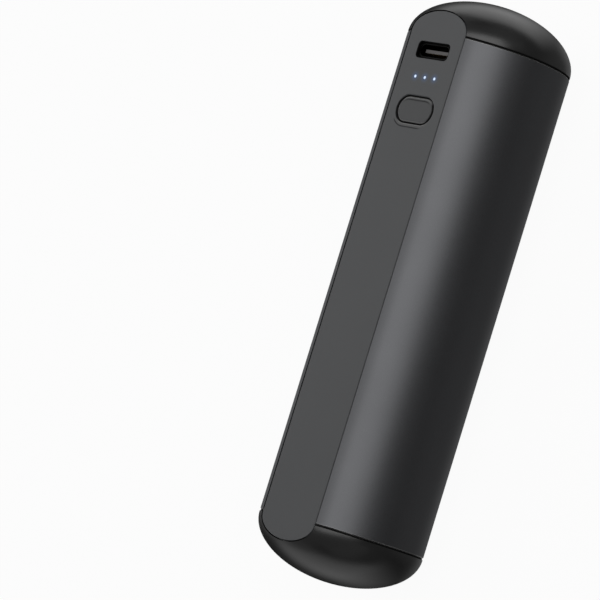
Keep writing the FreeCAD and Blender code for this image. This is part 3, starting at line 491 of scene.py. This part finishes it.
# Near-black rubber, whose colour also stands in as painted shade for the gap.
rubber_gap_shade = rubber.surface(
    Base_Color=rubber.mix(rubber_grain, grey(0.006), grey(0.011)),
    Roughness=0.8 + 0.1 * (rubber_grain - 0.5),
    Specular_IOR_Level=0.15,
    Normal=rubber.bump(rubber_grain, 0.01, 0.3),
)


def pick(piece, mode, test):
    """Selects the vertices, edges or faces that a test is true for, and leaves edit mode open."""
    bpy.ops.object.mode_set(mode="EDIT")
    bpy.ops.mesh.select_mode(type=mode)
    bpy.ops.mesh.select_all(action="DESELECT")
    bpy.ops.object.mode_set(mode="OBJECT")
    mesh = piece.data
    items = {"VERT": mesh.vertices, "EDGE": mesh.edges, "FACE": mesh.polygons}[mode]
    for item in items:
        item.select = test(item)
    bpy.ops.object.mode_set(mode="EDIT")


def done(piece, material, body):
    """Leaves edit mode with clean normals and hands the piece over."""
    bpy.ops.mesh.select_all(action="SELECT")
    bpy.ops.mesh.normals_make_consistent(inside=False)
    bpy.ops.object.mode_set(mode="OBJECT")
    bpy.ops.object.shade_smooth_by_angle(angle=math.radians(40))
    piece.data.materials.clear()
    piece.data.materials.append(material)
    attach(piece, body)
    print(piece.name, "faces:", len(piece.data.polygons))


def seam_ring(name, side):
    middle = side * (tube_end + seam_width / 2)
    bpy.ops.object.select_all(action="DESELECT")
    bpy.ops.mesh.primitive_torus_add(
        major_radius=tube_radius - ring_depth - ring_half,
        minor_radius=ring_half,
        major_segments=180,
        minor_segments=12,
        location=(middle, 0, axis_height),
        rotation=(0, math.radians(90), 0),
    )
    ring = bpy.context.object
    ring.name = name
    bpy.ops.object.transform_apply(location=True, rotation=True, scale=True)
    bpy.ops.object.mode_set(mode="EDIT")
    bpy.ops.mesh.select_all(action="SELECT")
    squeeze = ring_share * seam_width / (2 * ring_half)
    bpy.ops.transform.resize(value=(squeeze, 1, 1), center_override=(middle, 0, axis_height))
    for edge in (-strip_half, strip_half):
        bpy.ops.mesh.select_all(action="SELECT")
        bpy.ops.mesh.bisect(plane_co=(0, edge, 0), plane_no=(0, 1, 0))
    pick(ring, "FACE", lambda face: abs(face.center.y) < strip_half and face.center.z > axis_height)
    bpy.ops.mesh.delete(type="FACE")
    bpy.ops.mesh.select_all(action="SELECT")
    bpy.ops.mesh.fill_holes(sides=0)
    done(ring, rubber_gap_shade, "housing")


for name, side in {"top_seam_ring": 1, "bottom_seam_ring": -1}.items():
    seam_ring(name, side)

# %% [markdown]
# Looking into the socket, only black shows round the tongue. That is taken to be a thin moulded sleeve
# that lines the hole in the strip down to the socket's mouth; its near-black colour is also painted
# shade for the inside of the socket. By hand it starts as a plane the size of the hole: round the
# corners, inset the wall, drop the middle and thicken.

# %% Port sleeve
hole_length, hole_width, hole_corner = 9.4 * MM, 3.56 * MM, 0.9 * MM
sleeve_play = 0.02 * MM
sleeve_wall = 0.2 * MM
sleeve_depth = 0.16 * MM  # from the strip's face to the top of the sleeve
sleeve_top = strip_face - sleeve_depth
sleeve_height = socket_high.z - sleeve_top

bpy.ops.object.select_all(action="DESELECT")
bpy.ops.mesh.primitive_plane_add(size=1, location=(port_x, 0, sleeve_top))
sleeve = bpy.context.object
sleeve.name = "port_sleeve"
sleeve.scale = (hole_width - 2 * sleeve_play, hole_length - 2 * sleeve_play, 1)
bpy.ops.object.transform_apply(location=True, rotation=True, scale=True)
bpy.ops.object.mode_set(mode="EDIT")
bpy.ops.mesh.select_all(action="SELECT")
bpy.ops.mesh.bevel(offset=hole_corner - sleeve_play, segments=8, affect="VERTICES")
bpy.ops.mesh.select_all(action="SELECT")
bpy.ops.mesh.inset(thickness=sleeve_wall)
bpy.ops.mesh.delete(type="FACE")
bpy.ops.object.mode_set(mode="OBJECT")
thicken = sleeve.modifiers.new("Solidify", "SOLIDIFY")
thicken.thickness = -sleeve_height
thicken.offset = -1
bpy.ops.object.modifier_apply(modifier=thicken.name)
soften = sleeve.modifiers.new("Bevel", "BEVEL")
soften.width = 0.04 * MM
soften.segments = 2
bpy.ops.object.modifier_apply(modifier=soften.name)
bpy.ops.object.mode_set(mode="EDIT")

moulding = Finish("sleeve_shade_moulding")
moulding_grain = moulding.noise(0.2)
# Painted shade: a near-black, barely reflecting colour for the inside of the socket.
sleeve_shade_black = moulding.surface(
    Base_Color=moulding.mix(moulding_grain, grey(0.0015), grey(0.003)),
    Roughness=0.7 + 0.1 * (moulding_grain - 0.5),
    Specular_IOR_Level=0.03,
    Normal=moulding.bump(moulding_grain, 0.004, 0.3),
)
done(sleeve, sleeve_shade_black, "housing")
heights = [vertex.co.z / MM for vertex in sleeve.data.vertices]
print(f"sleeve from {min(heights):.2f} to {max(heights):.2f} mm")

# %% [markdown]
# Deep under the key, a thin steel dome gives the press its click: the plunger pushes its crown down and
# it springs back. A stiff dome would be cut by the plunger at the end of the press. This one takes the
# place of the plain CAD cone, which is hidden. By hand it is the top of a sphere, cut off at its rim
# and thickened downwards.

# %% Snap dome
dome_low, dome_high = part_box("switch_dome")
dome_wall = 0.08 * MM
rim_radius = (dome_high.x - dome_low.x) / 2
rim_height = dome_low.z + dome_wall
crown = dome_high.z - rim_height
ball_radius = (rim_radius**2 + crown**2) / (2 * crown)

bpy.ops.object.select_all(action="DESELECT")
bpy.ops.mesh.primitive_uv_sphere_add(
    segments=64, ring_count=96, radius=ball_radius, location=(button_x, 0, dome_high.z - ball_radius)
)
dome = bpy.context.object
dome.name = "snap_dome"
bpy.ops.object.transform_apply(location=True, rotation=True, scale=True)
bpy.ops.object.mode_set(mode="EDIT")
bpy.ops.mesh.select_all(action="SELECT")
bpy.ops.mesh.bisect(plane_co=(0, 0, rim_height), plane_no=(0, 0, 1), clear_inner=True)
bpy.ops.object.mode_set(mode="OBJECT")
thicken = dome.modifiers.new("Solidify", "SOLIDIFY")
thicken.thickness = dome_wall
thicken.offset = -1
bpy.ops.object.modifier_apply(modifier=thicken.name)
bpy.ops.object.mode_set(mode="EDIT")
done(dome, finishes["switch_steel"], "housing")
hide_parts("switch_dome")
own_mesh(dome)
heights = [vertex.co.z - dome_low.z for vertex in dome.data.vertices]
print(f"dome from {min(heights) / MM:.3f} to {max(heights) / MM:.3f} mm over the switch's floor")

# %% [markdown]
# The stage is a round room with a floor that curves up into a low wall, so that every view has the
# same plain background. By hand it is a cylinder without its lid, with a wide bevel round the floor
# and its faces turned inwards.

# %% Stage
ROOM_RADIUS = 2.2
WALL_HEIGHT = 1.1
COVE = 0.5

bpy.ops.object.select_all(action="DESELECT")
bpy.ops.mesh.primitive_cylinder_add(
    vertices=96, radius=ROOM_RADIUS, depth=WALL_HEIGHT, location=(0, 0, WALL_HEIGHT / 2)
)
room = bpy.context.object
room.name = "white_room"
bpy.ops.object.transform_apply(location=True, rotation=True, scale=True)
pick(room, "FACE", lambda face: face.normal.z > 0.5)
bpy.ops.mesh.delete(type="FACE")


def on_floor(edge):
    return all(room.data.vertices[index].co.z < MM for index in edge.vertices)


pick(room, "EDGE", on_floor)
bpy.ops.mesh.bevel(offset=COVE, segments=12, affect="EDGES")
bpy.ops.mesh.select_all(action="SELECT")
bpy.ops.mesh.flip_normals()
bpy.ops.object.mode_set(mode="OBJECT")
bpy.ops.object.shade_smooth()
print("stage faces:", len(room.data.polygons))

# %% [markdown]
# The room's paint decides what each kind of ray sees. Reflections see white on the far side and past
# the two ends. The near side is dim to them, because the photograph's tube falls away to near black
# there: a white floor would light it up. So a value for the white that reflections see is put together
# first, from soft bands and two fans on the floor.

# %% White that reflections see
FAN_TURN = math.radians(22)  # from the long axis towards the far side
FAN_HALF = 25 * MM  # half its width at the start
FAN_WIDENING = 0.5  # how much wider each half gets with the distance outwards
FAN_DRIFT = 0.2  # how much its middle moves to the far side with that distance
FAN_OFFSET = 12 * MM  # how far its middle starts to the near side
# each end: (where its fan starts, from the middle, and how white it is)
FANS = {1: (85 * MM, 1.0), -1: (84 * MM, 0.55)}

paint = Finish("white_room_paint")
along, across, height = paint.xyz()


def band(value, *stops):
    """1 between the two middle stops in millimetres, and a soft fall to 0 at the outer ones."""
    first, second, third, fourth = stops
    return paint.ramp(value, first * MM, second * MM) * (1 - paint.ramp(value, third * MM, fourth * MM))


def end_fan(side, start):
    """The light floor past one end, a fan that opens towards the far side."""
    ahead = side * along - start
    outward = ahead * math.cos(FAN_TURN) + across * math.sin(FAN_TURN)
    sideways = across * math.cos(FAN_TURN) - ahead * math.sin(FAN_TURN)
    half_width = FAN_HALF + FAN_WIDENING * paint.math("MAXIMUM", outward, 0.0)
    off_middle = abs(sideways - FAN_DRIFT * outward + FAN_OFFSET)
    within = 1 - paint.ramp(paint.math("DIVIDE", off_middle, half_width), 0.55, 1.35)
    low = 1 - paint.ramp(height, 0.05, 0.45)
    return paint.ramp(outward, -30 * MM, 15 * MM) * within * low


near_level = 0.1 + 0.12 * paint.ramp(across, -18 * MM, -13 * MM)
near_floor = band(across, -70, -25, -8, 0) * band(along, -66, -50, 60, 80) * near_level
near_corners = 0.18 * paint.ramp(abs(along), 0.35, 0.9) * (1 - paint.ramp(across, -0.5, -0.1))
far_floor = 0.1 * paint.ramp(across, 48 * MM, 85 * MM) * band(along, -75, -45, 45, 75)
far_middle = 1 - paint.ramp(abs(along) - across, -0.9, -0.2)
far_room = paint.ramp(across, 0.2, 0.45) * (0.2 + 0.7 * far_middle)

patches = [far_floor, far_room]
patches += [share * end_fan(side, start) for side, (start, share) in FANS.items()]
mirrored = near_floor + near_corners
for patch in patches:
    mirrored = paint.math("MAXIMUM", mirrored, patch)
print("nodes for reflections:", len(paint.tree.nodes))

# %% [markdown]
# To the camera, and through clear pieces, nearly all of the room is plain white of strength 1. The
# rest is matt paint that keeps the warmer's shadow. The light that the floor throws back at the warmer
# is dim for the same reason as above, so the matt paint is dark to every other ray.

# %% Stage paint
WHITE_SHARE = 0.95  # how much of the room is plain white to the camera

rays = paint.node("ShaderNodeLightPath")
seen = paint.math("MAXIMUM", rays["Is Camera Ray"], rays["Is Transmission Ray"])
white = paint.math("MAXIMUM", WHITE_SHARE * seen, mirrored * rays["Is Glossy Ray"])

dim = paint.mix(paint.ramp(across, -30 * MM, 5 * MM), grey(0.16), grey(0.05))
matt_colour = paint.mix(seen, dim, grey(0.9))
matt = paint.node("ShaderNodeBsdfDiffuse", {}, {"Color": matt_colour})["BSDF"]
glow = paint.node("ShaderNodeEmission", {}, {"Color": grey(1.0), "Strength": 1.0})["Emission"]
mixed = paint.node("ShaderNodeMixShader", {}, {0: white, 1: matt, 2: glow})["Shader"]
paint.feed(paint.tree.nodes["Material Output"], {"Surface": mixed})
paint.tree.nodes.remove(paint.shader)
room.data.materials.append(paint.material)
print("paint nodes:", len(paint.tree.nodes))

# %% [markdown]
# The photograph's light is a tall soft box over the near side, which lays the broad band along the
# tube, and a second one over the far side. The strip is flat and reflects that second one towards the
# camera, which is why it looks grey beside the tube. A dim world fills the shadows.

# %% Light
LIGHTS = {
    # name: (degrees from straight above towards the near side, degrees towards the socket end,
    #        distance, width along the warmer and height across it in m, watts)
    "key_soft_box": (34.6, 11.0, 1.35, 1.05, 1.45, 7.5),
    "far_soft_box": (-46.5, 14.0, 1.4, 1.1, 1.3, 5.0),
}
for name, (over, lean, distance, width, tall, watts) in LIGHTS.items():
    over, lean = math.radians(over), math.radians(lean)
    direction = Vector(
        (math.sin(lean), -math.cos(lean) * math.sin(over), math.cos(lean) * math.cos(over))
    )
    bpy.ops.object.select_all(action="DESELECT")
    bpy.ops.object.light_add(type="AREA", location=Vector((0, 0, axis_height)) + direction * distance)
    lamp = bpy.context.object
    lamp.name = name
    lamp.data.shape = "RECTANGLE"
    lamp.data.size, lamp.data.size_y = width, tall
    lamp.data.energy = watts
    lamp.rotation_euler = direction.to_track_quat("Z", "Y").to_euler()
    lamp.visible_camera = False
    print(f"{name}: {watts} W")

WORLD_STRENGTH = 0.13
world = bpy.data.worlds.new("dim_room")
bpy.context.scene.world = world
world.use_nodes = True
background = world.node_tree.nodes["Background"]
background.inputs["Color"].default_value = grey(1.0)
background.inputs["Strength"].default_value = WORLD_STRENGTH
bpy.context.scene.view_settings.view_transform = "Standard"
